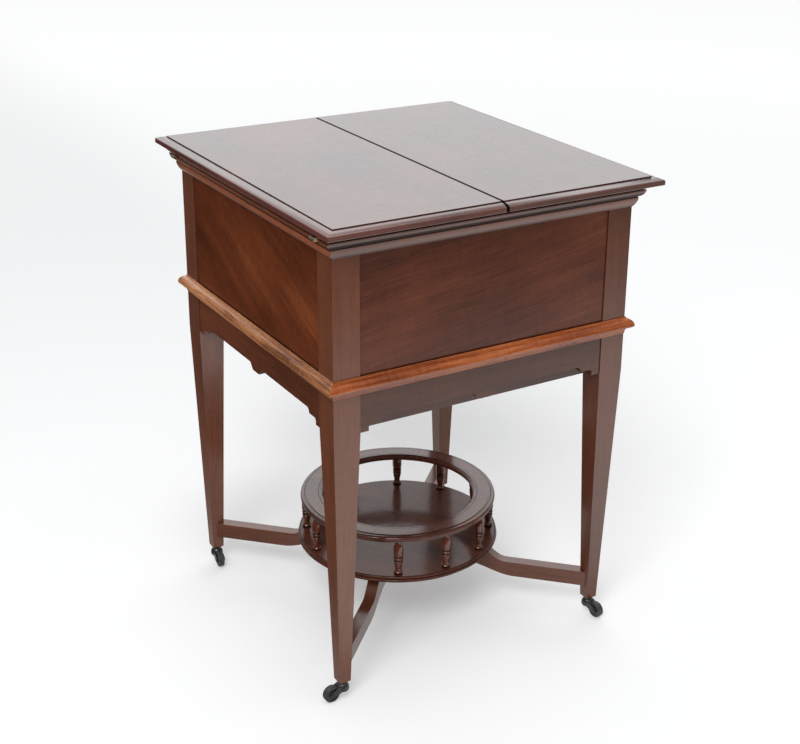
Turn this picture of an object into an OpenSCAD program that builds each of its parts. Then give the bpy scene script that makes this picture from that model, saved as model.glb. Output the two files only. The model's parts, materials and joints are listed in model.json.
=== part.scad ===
// Edwardian sewing table: a square box on four tapered legs, closed by two leaves that
// open outwards, with a rising work tray inside and a galleried tier on crossed stretchers.
// Frame: origin on the floor under the middle, +X to the right along the front, +Y to the
// back, +Z up. The front is at -Y. Both leaves are closed and the tray is down.

/* [Case] */
// Outside width and depth over the corner posts
case_size = 490; // [470:5:510]
// Side of the square corner posts
post_w = 41; // [38:1:44]
// Height of the top of the case, where the leaves rest
case_top_z = 712; // [708:0.1:714]
// Height of the lower edge of the panels, behind the middle moulding
panel_bottom_z = 500; // [498:0.5:502]
// Thickness of the panels
panel_thickness = 10; // [8:1:12]
// How far the panels lie behind the faces of the posts
panel_recess = 2; // [1:0.5:4]
// Height of the lower edge of the aprons, between their brackets
apron_bottom_z = 448; // [444:1:452]
// Thickness of the aprons
apron_thickness = 20; // [16:1:22]
// How far the aprons lie behind the faces of the posts
apron_recess = 1.5; // [0.5:0.5:3]
// Thickness of the bottom board, which hangs below the aprons
bottom_thickness = 22; // [18:1:24]

/* [Legs] */
// Height where the taper of a leg starts
taper_top_z = 430; // [425:1:435]
// Side of a leg at its foot
foot_w = 18; // [16:0.5:22]
// Height of the wooden foot above the floor
foot_z = 27; // [26:0.5:30]
// Chamfer round the foot
foot_chamfer = 3; // [2:0.5:4]

/* [Lid] */
// Height of the top of the closed leaves
lid_top_z = 735; // [733:0.5:737]
// Overhang of the lid past the posts at the left and right
lid_side_overhang = 26; // [25:0.5:28]
// Overhang of the lid past the posts at the front and back
lid_front_overhang = 39; // [36:0.5:42]
// Gap between the two leaves
seam_gap = 3; // [2:0.5:4]
// Thickness of the leaf boards
leaf_thickness = 12.3; // [11.5:0.1:13]
// Width of the moulded margin round the raised field
field_inset = 14; // [12:0.5:18]
// Height of the raised field above the margin
field_step = 1.5; // [1:0.1:2]
// Overhang of the moulded battens under the leaves past the posts
batten_out = 17; // [16:0.5:17.5]
// Width of the moulded battens under the edge of a leaf
batten_w = 37; // [36:1:40]
// Distance of the hinge axis outside the side faces of the posts
pivot_out = 18; // [17.5:0.1:18.5]

/* [Stretchers] */
// Width of a stretcher, seen from above
stretcher_w = 18; // [16:0.5:20]
// Height of the top of a stretcher at the leg
stretcher_leg_top_z = 76; // [72:1:80]
// Height of the underside of a stretcher at the leg
stretcher_leg_bottom_z = 51; // [48:1:54]

/* [Tier] */
// Radius of the round tray board
disc_r = 162; // [155:1:165]
// Height of the underside of the tray board, where the stretchers carry it
disc_z = 102; // [100:0.5:104]
// Thickness of the tray board
disc_thickness = 10; // [8:0.5:12]
// Outer radius of the gallery ring
ring_r = 157; // [152:1:160]
// Inner radius of the gallery ring
ring_inner_r = 121.5; // [115:0.5:125]
// Height of the underside of the gallery ring
ring_z = 169; // [165:0.5:172]
// Thickness of the gallery ring
ring_thickness = 10; // [8:0.5:12]
// Radius of the circle on which the spindles stand
spindle_circle_r = 148; // [145:0.5:150]
// Number of spindles
spindle_count = 12; // [8:1:16]

/* [Casters] */
// Radius of a caster wheel
wheel_r = 12.5; // [11:0.5:13]
// Width of a caster wheel
wheel_w = 9; // [8:0.5:9.5]
// Distance of the wheel's axle from the swivel axis
caster_trail = 19; // [18:0.5:22]

/* [Work tray] */
// Outside width and depth of the work tray
tray_size = 400; // [380:2:402]
// Height of the work tray
tray_height = 150; // [130:5:150]
// Height of the underside of the tray when it is down
tray_bottom_z = 552; // [550:1:552]
// Thickness of the walls of the tray
tray_wall = 9; // [8:0.5:12]

/* [Hidden] */
$fn = 64;

polished = "#5a2c1c";
figured = "#6b3320";
bright = "#9a5526";
tray_wood = "#8a5233";
black = "#262424";
brass = "#b9a06a";

half_case = case_size / 2;
post_axis = half_case - post_w / 2;
post_inner = half_case - post_w;
waist_bottom_z = 488;
waist_top_z = 514.4;
cornice_bottom_z = 685.2;
// Glue gap left round each tongue, tenon and mitre
joint_gap = 0.1;
tongue_depth = 6;
tenon_length = 15;
tenon_thickness = 10;
tenon_bottom_z = apron_bottom_z + 4;
tenon_height = 40;
apron_axis = half_case - apron_recess - apron_thickness / 2;
bottom_setback = apron_recess + apron_thickness + 0.5;

lid_half_x = half_case + lid_side_overhang;
lid_half_y = half_case + lid_front_overhang;
leaf_under_z = lid_top_z - leaf_thickness;
batten_bottom_z = case_top_z + 0.2;
batten_inner = half_case + batten_out - batten_w;

pivot_x = half_case + pivot_out;
pivot_z = batten_bottom_z;
hinge_y = 229;
hinge_length = 14;
knuckle_r = 3;
knuckle_gap = 0.3;
leaf_knuckle_length = 5;
hinge_pin_r = 1.5;
running_clearance = 0.05;
plate_thickness = 1.5;
plate_reach = 33;
plate_clearance = 3.5;

stretcher_end = sqrt(2) * (post_axis - 3.8);
// Stations along the diagonal where the top and the two bends of the underside rise
rise_start = 180;
rise_end = 130;
under_bend_start = 195;
under_bend_length = 80;
under_bend_rise = 18;
crown_start = 115;
crown_length = 55;
crown_rise = 8;

tray_top_z = tray_bottom_z + tray_height;
tray_floor_thickness = 6;
tray_inner = tray_size / 2 - tray_wall;
guide_tongue_w = 16;
guide_tongue_depth = 4;
guide_clearance = 0.4;
guide_w = 40;
guide_gap = 0.6;
tray_seat_gap = 0.3;
divider_thickness = 6;
divider_x = 95;
divider_drop = 6;
shelf_z = tray_bottom_z + 86;
shelf_thickness = 5;
cross_divider_y = 64;
cross_divider_drop = 12;

socket_r = 4.5;
socket_bore_r = 3.05;
socket_top_z = 60;
stem_r = socket_bore_r - running_clearance;
stem_top_z = 56;
flange_r = 7;
flange_thickness = 1.5;
flange_z = foot_z - flange_thickness;
swivel_gap = 0.3;
fork_top_z = flange_z - swivel_gap;
bowl_r = 10;
bowl_drop = 11.5;
cheek_thickness = 2;
cheek_gap = 0.5;
cheek_r = 5;
axle_r = 1.5;
axle_head_r = 2.6;
axle_head_thickness = 0.8;
// Corner of each caster and the way it trails, in degrees from +X
CASTERS = [[-1, -1, 183], [1, -1, -82], [-1, 1, -98], [1, 1, 214]];

// A curve that leaves 0 and reaches 1 level, for t from 0 to 1
function ease(t) = t <= 0 ? 0 : t >= 1 ? 1 : t * t * (3 - 2 * t);

// ---------------------------------------------------------------- placing helpers

// Mirrors a piece made at the +X +Y corner to the corner with the given signs
module to_corner(sx, sy) {
    mirror([sx < 0 ? 1 : 0, 0, 0])
        mirror([0, sy < 0 ? 1 : 0, 0])
            children();
}

// Turns a piece made at the front to side 0 front, 1 right, 2 back or 3 left
module to_side(side) {
    rotate([0, 0, 90 * side]) children();
}

// Extrudes an outline drawn as (outward, up) along X, with outward towards -Y
module run_along_x(length) {
    rotate([90, 0, 90])
        linear_extrude(length, center = true)
            mirror([1, 0])
                children();
}

// Stands an outline drawn as (across, up) in the XZ plane, centred on Y
module stand_up(thickness) {
    rotate([90, 0, 0])
        linear_extrude(thickness, center = true)
            children();
}

// ---------------------------------------------------------------- legs

module leg_outline(grow) {
    top = (post_w + grow) / 2;
    foot = (foot_w + grow) / 2;
    polygon([
        [-top, case_top_z], [-top, taper_top_z], [-foot, foot_z + foot_chamfer],
        [-foot + foot_chamfer, foot_z], [foot - foot_chamfer, foot_z],
        [foot, foot_z + foot_chamfer], [top, taper_top_z], [top, case_top_z]
    ]);
}

// A square post that tapers on all four faces below the case
module leg_blank(grow) {
    intersection() {
        stand_up(2 * post_w) leg_outline(grow);
        rotate([0, 0, 90]) stand_up(2 * post_w) leg_outline(grow);
    }
}

// Slot in the post for one panel and mortise for one apron, for the side parallel to X
module post_cuts() {
    groove = panel_thickness + 2 * joint_gap;
    translate([post_inner - 1, half_case - panel_recess - panel_thickness - joint_gap,
               panel_bottom_z - joint_gap])
        cube([tongue_depth + 1 + joint_gap, groove, case_top_z]);
    translate([post_inner - 1, apron_axis - tenon_thickness / 2 - joint_gap,
               tenon_bottom_z - joint_gap])
        cube([tenon_length + 1 + joint_gap, tenon_thickness + 2 * joint_gap,
              tenon_height + 2 * joint_gap]);
}

// Shallow seat for the plate of one hinge, on top of the post and the cornice
module case_plate_seat() {
    translate([pivot_x - plate_reach - joint_gap, hinge_y - hinge_length / 2 - joint_gap,
               case_top_z - plate_thickness])
        cube([plate_reach, hinge_length + 2 * joint_gap, 2 * plate_thickness]);
}

module leg(sx, sy) {
    color(polished)
        to_corner(sx, sy)
            difference() {
                translate([post_axis, post_axis, 0]) leg_blank(0);
                post_cuts();
                mirror([1, -1, 0]) post_cuts();
                case_plate_seat();
                translate([post_axis, post_axis, 0])
                    cylinder(h = socket_top_z + 1, r = socket_r + joint_gap);
            }
}

// ---------------------------------------------------------------- case

module panel(side) {
    half_w = post_inner + tongue_depth;
    color(figured)
        to_side(side)
            translate([-half_w, -half_case + panel_recess, panel_bottom_z])
                cube([2 * half_w, panel_thickness, case_top_z - panel_bottom_z]);
}

// Flat ovolo, quirk and bold upper ovolo, drawn as (outward, up)
module cornice_outline() {
    top_out = 14;
    upper_r = 12;
    lower_r = 24;
    lower_out = 6.6;
    lower_z = 701;
    lower_top_z = 699.5;
    quirk_out = 5.7;
    quirk_top_z = 701.1;
    intersection() {
        translate([lower_out - lower_r, lower_z]) circle(r = lower_r, $fn = 180);
        translate([0, cornice_bottom_z]) square([lower_r, lower_top_z - cornice_bottom_z]);
    }
    translate([0, lower_top_z]) square([quirk_out, quirk_top_z - lower_top_z]);
    intersection() {
        translate([top_out - upper_r, case_top_z]) circle(r = upper_r, $fn = 128);
        translate([0, quirk_top_z]) square([top_out, case_top_z - quirk_top_z]);
    }
}

// Two fillets, ovolo, nose, quirk, cove and bottom fillet, drawn as (outward, up)
module waist_outline() {
    top_fillet = 1.7;
    ovolo_r = 9.8;
    nose_out = top_fillet + ovolo_r;
    nose_z = 502.1;
    quirk_z = 500;
    quirk_out = 9.5;
    cove_r = 8.4;
    cove_z = quirk_z - 1.5;
    translate([0, waist_top_z - 4]) square([top_fillet, 4]);
    intersection() {
        translate([top_fillet, nose_z]) circle(r = ovolo_r);
        translate([0, nose_z]) square([nose_out, ovolo_r]);
    }
    translate([0, nose_z]) square([top_fillet, ovolo_r]);
    translate([0, quirk_z]) square([nose_out, nose_z - quirk_z]);
    translate([0, cove_z]) square([quirk_out, quirk_z - cove_z]);
    difference() {
        translate([0, cove_z - cove_r]) square([quirk_out, cove_r]);
        translate([quirk_out, cove_z - cove_r]) circle(r = cove_r);
    }
    translate([0, waist_bottom_z]) square([quirk_out - cove_r, cove_z - cove_r - waist_bottom_z]);
}

// One mitred length of a moulding round the case
module case_strip(side) {
    reach = 20;
    inner = half_case - joint_gap;
    to_side(side)
        intersection() {
            translate([0, -half_case, 0]) run_along_x(case_size + 2 * reach) children();
            linear_extrude(lid_top_z)
                polygon([
                    [-inner, -half_case], [-inner - reach, -half_case - reach],
                    [inner + reach, -half_case - reach], [inner, -half_case]
                ]);
        }
}

module cornice(side) {
    color(polished)
        difference() {
            case_strip(side) cornice_outline();
            for (sx = [-1, 1], sy = [-1, 1])
                to_corner(sx, sy) case_plate_seat();
        }
}

module waist_moulding(side) {
    color(bright) case_strip(side) waist_outline();
}

// Stepped bracket at the right end of an apron, drawn as (across, up)
module bracket_outline() {
    foot_in = 14;
    foot_drop = 18;
    ear_in = 34;
    ear_drop = 8.5;
    nook_r = 4;
    translate([post_inner - foot_in, apron_bottom_z - foot_drop]) square([foot_in, foot_drop + 1]);
    translate([post_inner - ear_in, apron_bottom_z - ear_drop]) square([ear_in, ear_drop + 1]);
    difference() {
        translate([post_inner - foot_in - nook_r, apron_bottom_z - ear_drop - nook_r])
            square(nook_r + 1);
        translate([post_inner - foot_in - nook_r, apron_bottom_z - ear_drop - nook_r])
            circle(r = nook_r);
    }
    difference() {
        translate([post_inner - ear_in - ear_drop, apron_bottom_z - ear_drop]) square(ear_drop + 1);
        translate([post_inner - ear_in - ear_drop, apron_bottom_z - ear_drop]) circle(r = ear_drop);
    }
}

// Small pendant in the middle of an apron, with ogee shoulders
module pendant_outline() {
    flat = 9;
    shoulder = 13;
    drop = 11;
    steps = 8;
    edge = flat + shoulder;
    top = apron_bottom_z + 1;
    right = [
        for (i = [0:steps])
            [flat + shoulder * i / steps, apron_bottom_z - drop * (1 - ease(i / steps))]
    ];
    left = [for (i = [steps:-1:0]) [-right[i][0], right[i][1]]];
    polygon(concat(left, right, [[edge, top], [-edge, top]]));
}

module apron(side) {
    height = panel_bottom_z - apron_bottom_z;
    color(polished)
        to_side(side)
            translate([0, -apron_axis, 0]) {
                stand_up(apron_thickness) {
                    translate([-post_inner, apron_bottom_z]) square([2 * post_inner, height]);
                    bracket_outline();
                    mirror([1, 0]) bracket_outline();
                    pendant_outline();
                }
                stand_up(tenon_thickness)
                    translate([-post_inner - tenon_length, tenon_bottom_z])
                        square([2 * (post_inner + tenon_length), tenon_height]);
            }
}

// Board under the case, set back behind the aprons and notched round the legs
module bottom_board() {
    reach = half_case - bottom_setback;
    notch = post_inner - joint_gap;
    color(polished)
        translate([0, 0, apron_bottom_z - bottom_thickness])
            linear_extrude(bottom_thickness) {
                square([2 * reach, 2 * notch], center = true);
                square([2 * notch, 2 * reach], center = true);
            }
}

// Upright guides for the tray at the left and right, notched over the aprons, each with a
// tongue for the tray and a foot under it
module guide_rails() {
    panel_face = half_case - panel_recess - panel_thickness;
    apron_face = half_case - apron_recess - apron_thickness;
    inner = tray_size / 2 + guide_gap;
    top_z = case_top_z - 3.5;
    foot_reach = 10;
    color(tray_wood)
        for (m = [0, 1])
            mirror([m, 0, 0]) {
                translate([inner, -guide_w / 2, panel_bottom_z])
                    cube([panel_face - inner, guide_w, top_z - panel_bottom_z]);
                translate([inner, -guide_w / 2, apron_bottom_z])
                    cube([apron_face - inner, guide_w, top_z - apron_bottom_z]);
                translate([tray_size / 2 - guide_tongue_depth, -guide_tongue_w / 2, apron_bottom_z])
                    cube([guide_tongue_depth + 1, guide_tongue_w, top_z - apron_bottom_z]);
                translate([tray_size / 2 - foot_reach, -guide_w / 2, apron_bottom_z])
                    cube([foot_reach + 1, guide_w, tray_bottom_z - tray_seat_gap - apron_bottom_z]);
            }
}

// ---------------------------------------------------------------- leaves, made at the left

// Edge of a leaf board, drawn as (in from the edge, up): eased lower arris, upright face,
// nose, thumb moulding that rises to the step, and raised field
module leaf_edge_outline(length) {
    thumb_r = 28;
    nose_r = 2.5;
    lower_r = 1;
    steps = 6;
    margin_z = lid_top_z - field_step;
    turn = asin((field_inset - nose_r) / (thumb_r - nose_r));
    nose_z = margin_z - thumb_r + (thumb_r - nose_r) * cos(turn);
    lower_arc = [
        for (i = [0:steps])
            [lower_r * (1 - cos(90 * i / steps)), leaf_under_z + lower_r * (1 - sin(90 * i / steps))]
    ];
    thumb_arc = [
        for (i = [0:steps])
            [field_inset - thumb_r * sin(turn * i / steps),
             margin_z - thumb_r * (1 - cos(turn * i / steps))]
    ];
    nose_arc = [
        for (i = [1:steps])
            [nose_r * (1 - sin(turn + (90 - turn) * i / steps)),
             nose_z + nose_r * cos(turn + (90 - turn) * i / steps)]
    ];
    polygon(concat(
        lower_arc,
        [[length, leaf_under_z], [length, lid_top_z], [field_inset, lid_top_z]],
        thumb_arc,
        nose_arc
    ));
}

module leaf_board(m) {
    leaf_w = lid_half_x - seam_gap / 2;
    color(figured)
        mirror([m, 0, 0])
            intersection() {
                translate([-lid_half_x, 0, 0])
                    stand_up(2 * lid_half_y + 2) leaf_edge_outline(leaf_w);
                intersection_for (turn = [0, 1])
                    mirror([0, turn, 0])
                        translate([0, -lid_half_y, 0])
                            rotate([90, 0, 90])
                                linear_extrude(3 * lid_half_x, center = true)
                                    leaf_edge_outline(2 * lid_half_y + 20);
            }
}

// Moulded batten under the edge of a leaf, an ovolo on a low foot, drawn as (outward, up)
module batten_outline() {
    ovolo_r = 6;
    foot_z = batten_bottom_z + 0.5;
    ovolo_z = foot_z + ovolo_r;
    foot_out = batten_out - ovolo_r;
    inner = batten_out - batten_w;
    translate([inner, batten_bottom_z]) square([foot_out - inner, leaf_under_z - batten_bottom_z]);
    translate([foot_out, ovolo_z]) square([ovolo_r, leaf_under_z - ovolo_z]);
    intersection() {
        translate([foot_out, ovolo_z]) circle(r = ovolo_r);
        translate([foot_out, foot_z]) square(ovolo_r);
    }
}

// Seats for the plates of two hinges, under the battens of a leaf
module leaf_plate_seats() {
    for (sy = [-1, 1])
        translate([-pivot_x, sy * hinge_y - hinge_length / 2 - joint_gap, pivot_z - 1])
            cube([plate_reach + joint_gap, hinge_length + 2 * joint_gap, plate_thickness + 1]);
}

module side_batten(m) {
    reach = half_case + batten_out + 1;
    color(polished)
        mirror([m, 0, 0])
            difference() {
                intersection() {
                    translate([-half_case, 0, 0])
                        stand_up(2 * reach)
                            mirror([1, 0])
                                batten_outline();
                    linear_extrude(lid_top_z)
                        polygon([
                            [-reach, -reach + joint_gap], [-batten_inner, -batten_inner + joint_gap],
                            [-batten_inner, batten_inner - joint_gap], [-reach, reach - joint_gap]
                        ]);
                }
                leaf_plate_seats();
            }
}

// Front batten with end = 1, back batten with end = -1
module end_batten(m, end) {
    reach = half_case + batten_out + 1;
    color(polished)
        mirror([m, 0, 0])
            mirror([0, end < 0 ? 1 : 0, 0])
                difference() {
                    intersection() {
                        translate([0, -half_case, 0])
                            run_along_x(2 * reach)
                                batten_outline();
                        linear_extrude(lid_top_z)
                            polygon([
                                [-reach + joint_gap, -reach],
                                [-batten_inner + joint_gap, -batten_inner],
                                [-seam_gap / 2, -batten_inner], [-seam_gap / 2, -reach]
                            ]);
                    }
                    leaf_plate_seats();
                }
}

// ---------------------------------------------------------------- hinges, made at the left

// One tube of the knuckle between two stations along the hinge
module knuckle(from, to, bore_r) {
    rotate([90, 0, 0])
        translate([0, 0, -to])
            difference() {
                cylinder(h = to - from, r = knuckle_r);
                translate([0, 0, -1]) cylinder(h = to - from + 2, r = bore_r);
            }
}

// Strip that joins a tube to its plate, clear of the bore
module hinge_neck(from, to, z) {
    translate([2, from, z]) cube([plate_clearance - 1, to - from, plate_thickness]);
}

module case_hinge_plates() {
    edge = hinge_length / 2;
    inner = leaf_knuckle_length / 2 + knuckle_gap;
    plate_z = case_top_z - plate_thickness - pivot_z;
    color(brass)
        for (m = [0, 1], sy = [-1, 1])
            mirror([m, 0, 0])
                translate([-pivot_x, sy * hinge_y, pivot_z]) {
                    for (span = [[-edge, -inner], [inner, edge]]) {
                        knuckle(span[0], span[1], hinge_pin_r);
                        hinge_neck(span[0], span[1], plate_z);
                    }
                    translate([plate_clearance, -edge, plate_z])
                        cube([plate_reach - plate_clearance, hinge_length, plate_thickness]);
                }
}

module hinge_pins() {
    color(brass)
        for (m = [0, 1], sy = [-1, 1])
            mirror([m, 0, 0])
                translate([-pivot_x, sy * hinge_y, pivot_z])
                    rotate([90, 0, 0])
                        cylinder(h = hinge_length, r = hinge_pin_r, center = true);
}

module leaf_hinge_plates(m) {
    edge = hinge_length / 2;
    half = leaf_knuckle_length / 2;
    color(brass)
        mirror([m, 0, 0])
            for (sy = [-1, 1])
                translate([-pivot_x, sy * hinge_y, pivot_z]) {
                    knuckle(-half, half, hinge_pin_r + running_clearance);
                    hinge_neck(-half, half, 0);
                    translate([plate_clearance, -edge, 0])
                        cube([plate_reach - plate_clearance, hinge_length, plate_thickness]);
                }
}

// ---------------------------------------------------------------- work tray

module tray_ends() {
    color(tray_wood)
        for (m = [0, 1])
            mirror([0, m, 0])
                translate([-tray_size / 2, -tray_size / 2, tray_bottom_z])
                    cube([tray_size, tray_wall, tray_height]);
}

// Walls at the left and right, each grooved outside for the tongue of its guide
module tray_sides() {
    groove_w = guide_tongue_w + 2 * guide_clearance;
    groove_depth = guide_tongue_depth + guide_clearance;
    color(tray_wood)
        for (m = [0, 1])
            mirror([m, 0, 0])
                difference() {
                    translate([tray_inner, -tray_inner, tray_bottom_z])
                        cube([tray_wall, 2 * tray_inner, tray_height]);
                    translate([tray_size / 2 - groove_depth, -groove_w / 2, tray_bottom_z - 1])
                        cube([tray_wall, groove_w, tray_height + 2]);
                }
}

module tray_bottom() {
    color(tray_wood)
        translate([-tray_inner, -tray_inner, tray_bottom_z])
            cube([2 * tray_inner, 2 * tray_inner, tray_floor_thickness]);
}

// Two long dividers, a shelf beside each, and cross dividers that make small compartments
module tray_dividers() {
    floor_z = tray_bottom_z + tray_floor_thickness;
    side_inner = divider_x + divider_thickness / 2;
    cross_z = shelf_z + shelf_thickness;
    color(tray_wood)
        for (m = [0, 1])
            mirror([m, 0, 0]) {
                translate([divider_x - divider_thickness / 2, -tray_inner, floor_z])
                    cube([divider_thickness, 2 * tray_inner, tray_top_z - divider_drop - floor_z]);
                translate([side_inner, -tray_inner, shelf_z])
                    cube([tray_inner - side_inner, 2 * tray_inner, shelf_thickness]);
                for (y = [-cross_divider_y, cross_divider_y])
                    translate([side_inner, y - divider_thickness / 2, cross_z])
                        cube([tray_inner - side_inner, divider_thickness,
                              tray_top_z - cross_divider_drop - cross_z]);
            }
}

// ---------------------------------------------------------------- stretchers and tier

function stretcher_top(s) =
    stretcher_leg_top_z + (disc_z - stretcher_leg_top_z) * ease((rise_start - s) / (rise_start - rise_end));

function stretcher_bottom(s) =
    stretcher_leg_bottom_z
    + under_bend_rise * ease((under_bend_start - s) / under_bend_length)
    + crown_rise * ease((crown_start - s) / crown_length);

// Elevation of a stretcher along its diagonal: level at the legs, raised under the tier
module stretcher_outline() {
    half = concat([for (s = [60:5:195]) s], [stretcher_end]);
    last = len(half) - 1;
    stations = concat([for (i = [last:-1:0]) -half[i]], half);
    end = len(stations) - 1;
    top = [for (i = [0:end]) [stations[i], stretcher_top(abs(stations[i]))]];
    bottom = [for (i = [end:-1:0]) [stations[i], stretcher_bottom(abs(stations[i]))]];
    polygon(concat(top, bottom));
}

// One diagonal bar, cut at the ends to fit over the corners of two legs
module stretcher_bar(turn) {
    difference() {
        rotate([0, 0, turn]) stand_up(stretcher_w) stretcher_outline();
        for (sx = [-1, 1], sy = [-1, 1])
            to_corner(sx, sy) translate([post_axis, post_axis, 0]) leg_blank(2 * joint_gap);
    }
}

// Box over the upper or lower half of the crossing, for the halving joint
module halving(turn, z) {
    lap_w = stretcher_w + 2 * joint_gap;
    rotate([0, 0, turn]) translate([-lap_w / 2, -stretcher_w, z]) cube([lap_w, 2 * stretcher_w, 60]);
}

halving_z = (stretcher_top(0) + stretcher_bottom(0)) / 2;

module stretcher_lower() {
    color(polished)
        difference() {
            stretcher_bar(45);
            halving(45, halving_z - joint_gap / 2);
        }
}

module stretcher_upper() {
    color(polished)
        difference() {
            stretcher_bar(-45);
            halving(-45, halving_z + joint_gap / 2 - 60);
        }
}

// Round board with a moulded edge: bottom bead, quirk and thumb
module tier_disc() {
    bead_r = 2.6;
    thumb_r = 2.4;
    quirk = 1.2;
    color(figured)
        rotate_extrude($fn = 128)
            translate([0, disc_z]) {
                square([disc_r - bead_r - quirk, disc_thickness]);
                translate([disc_r - bead_r, bead_r]) circle(r = bead_r);
                square([disc_r - bead_r, bead_r]);
                translate([disc_r - quirk - thumb_r, disc_thickness - thumb_r]) circle(r = thumb_r);
                translate([disc_r - bead_r - quirk - 1, disc_thickness - thumb_r])
                    square([bead_r + 1 - thumb_r + 0.2, thumb_r]);
            }
}

// Section of the gallery ring: thumb outside with a step above, bead inside
module ring_outline() {
    nose = 4;
    step = 1;
    margin = 9;
    bead_r = 2.5;
    body_h = ring_thickness - step;
    translate([ring_inner_r + bead_r, 0])
        square([ring_r - nose - ring_inner_r - bead_r, body_h]);
    translate([ring_r - nose, body_h - nose]) circle(r = nose);
    translate([ring_r - nose - 1, 0]) square([nose - 1, body_h - nose]);
    translate([ring_inner_r + bead_r + 1.5, 0])
        square([ring_r - margin - ring_inner_r - bead_r - 1.5, ring_thickness]);
    translate([ring_inner_r + bead_r, body_h - bead_r - 0.6]) circle(r = bead_r);
}

// A quarter of the ring, butted end to end with its neighbours
module ring_segment(side) {
    butt_angle = 0.05;
    color(figured)
        rotate([0, 0, -135 + 90 * side + butt_angle])
            translate([0, 0, ring_z])
                rotate_extrude(angle = 90 - 2 * butt_angle, $fn = 128) ring_outline();
}

// Turned outline of a spindle as [height, radius] stations: foot, vase, two beads, vase, neck
SPINDLE = [
    [0, 5.6], [1.2, 6.9], [3, 6.9], [5, 5.2], [8.5, 4.6], [12, 5.4], [17, 6.5], [22, 7.1], [23.4, 6.2],
    [24.2, 6.2], [25.4, 7.2], [27.6, 7.2], [28.8, 6.2], [29.6, 6.2], [31, 7.2], [35, 7.7], [42, 7.8],
    [48, 6.7], [52, 5.2], [54.5, 4.7], [57, 4.7]
];

module gallery_spindles() {
    scale_z = (ring_z - disc_z - disc_thickness) / 57;
    points = [for (p = SPINDLE) [p[1], p[0] * scale_z]];
    top_z = ring_z - disc_z - disc_thickness;
    color(bright)
        for (i = [0:spindle_count - 1])
            rotate([0, 0, i * 360 / spindle_count])
                translate([spindle_circle_r, 0, disc_z + disc_thickness])
                    rotate_extrude() polygon(concat([[0, 0]], points, [[0, top_z]]));
}

// ---------------------------------------------------------------- casters

// Puts a caster piece, made with its trail along +X, under leg i and turns it
module under_leg(i) {
    translate([CASTERS[i][0] * post_axis, CASTERS[i][1] * post_axis, 0])
        rotate([0, 0, CASTERS[i][2]])
            children();
}

// Lays a cylinder across the fork, on the axle
module across(h, r) {
    translate([caster_trail, 0, wheel_r]) rotate([90, 0, 0]) cylinder(h = h, r = r, center = true);
}

module caster_sockets() {
    color(black)
        for (i = [0:3])
            under_leg(i)
                difference() {
                    union() {
                        translate([0, 0, flange_z]) cylinder(h = flange_thickness, r = flange_r);
                        translate([0, 0, flange_z]) cylinder(h = socket_top_z - flange_z, r = socket_r);
                    }
                    translate([0, 0, flange_z - 1])
                        cylinder(h = stem_top_z + 2 - flange_z, r = socket_bore_r);
                }
}

// Side of the fork: two rounds joined by straight edges, from the bowl to the axle
module cheek_outline() {
    bowl_x = 2;
    bowl_z = fork_top_z - cheek_r - 1;
    run = caster_trail - bowl_x;
    fall = bowl_z - wheel_r;
    translate([bowl_x, bowl_z]) circle(r = cheek_r);
    translate([caster_trail, wheel_r]) circle(r = cheek_r);
    translate([bowl_x, bowl_z])
        rotate(-atan2(fall, run))
            translate([0, -cheek_r])
                square([norm([run, fall]), 2 * cheek_r]);
}

module caster_fork(i) {
    inside = wheel_w + 2 * cheek_gap;
    color(black)
        under_leg(i)
            difference() {
                union() {
                    translate([0, 0, fork_top_z - 4]) cylinder(h = stem_top_z - fork_top_z + 4, r = stem_r);
                    intersection() {
                        translate([0, 0, fork_top_z - bowl_r + 2]) sphere(r = bowl_r);
                        translate([0, 0, fork_top_z - bowl_drop]) cylinder(h = bowl_drop, r = bowl_r);
                    }
                    stand_up(inside + 2 * cheek_thickness) cheek_outline();
                }
                across(inside, wheel_r + 1);
                across(inside + 4 * cheek_thickness, axle_r);
            }
}

module caster_axle(i) {
    reach = wheel_w + 2 * cheek_gap + 2 * cheek_thickness;
    color(black)
        under_leg(i) {
            across(reach + axle_head_thickness, axle_r);
            for (end = [-1, 1])
                translate([0, end * (reach + axle_head_thickness) / 2, 0])
                    across(axle_head_thickness, axle_head_r);
        }
}

// Wheel with a rounded tread and dished sides, running on the axle
module caster_wheel(i) {
    round_r = 1.2;
    dish_depth = 1;
    dish_inner = 4;
    dish_outer = 9.5;
    half_w = wheel_w / 2;
    bore_r = axle_r + running_clearance;
    color("#3a3938")
        under_leg(i)
            translate([caster_trail, 0, wheel_r])
                rotate([90, 0, 0])
                    rotate_extrude() {
                        difference() {
                            translate([bore_r, -half_w]) square([wheel_r - round_r - bore_r, wheel_w]);
                            for (m = [0, 1])
                                mirror([0, m])
                                    translate([dish_inner, half_w - dish_depth])
                                        square([dish_outer - dish_inner, dish_depth + 1]);
                        }
                        translate([wheel_r - round_r - 1, round_r - half_w])
                            square([round_r + 1, wheel_w - 2 * round_r]);
                        for (end = [-1, 1])
                            translate([wheel_r - round_r, end * (half_w - round_r)]) circle(r = round_r);
                    }
}

// ---------------------------------------------------------------- nodes

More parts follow.
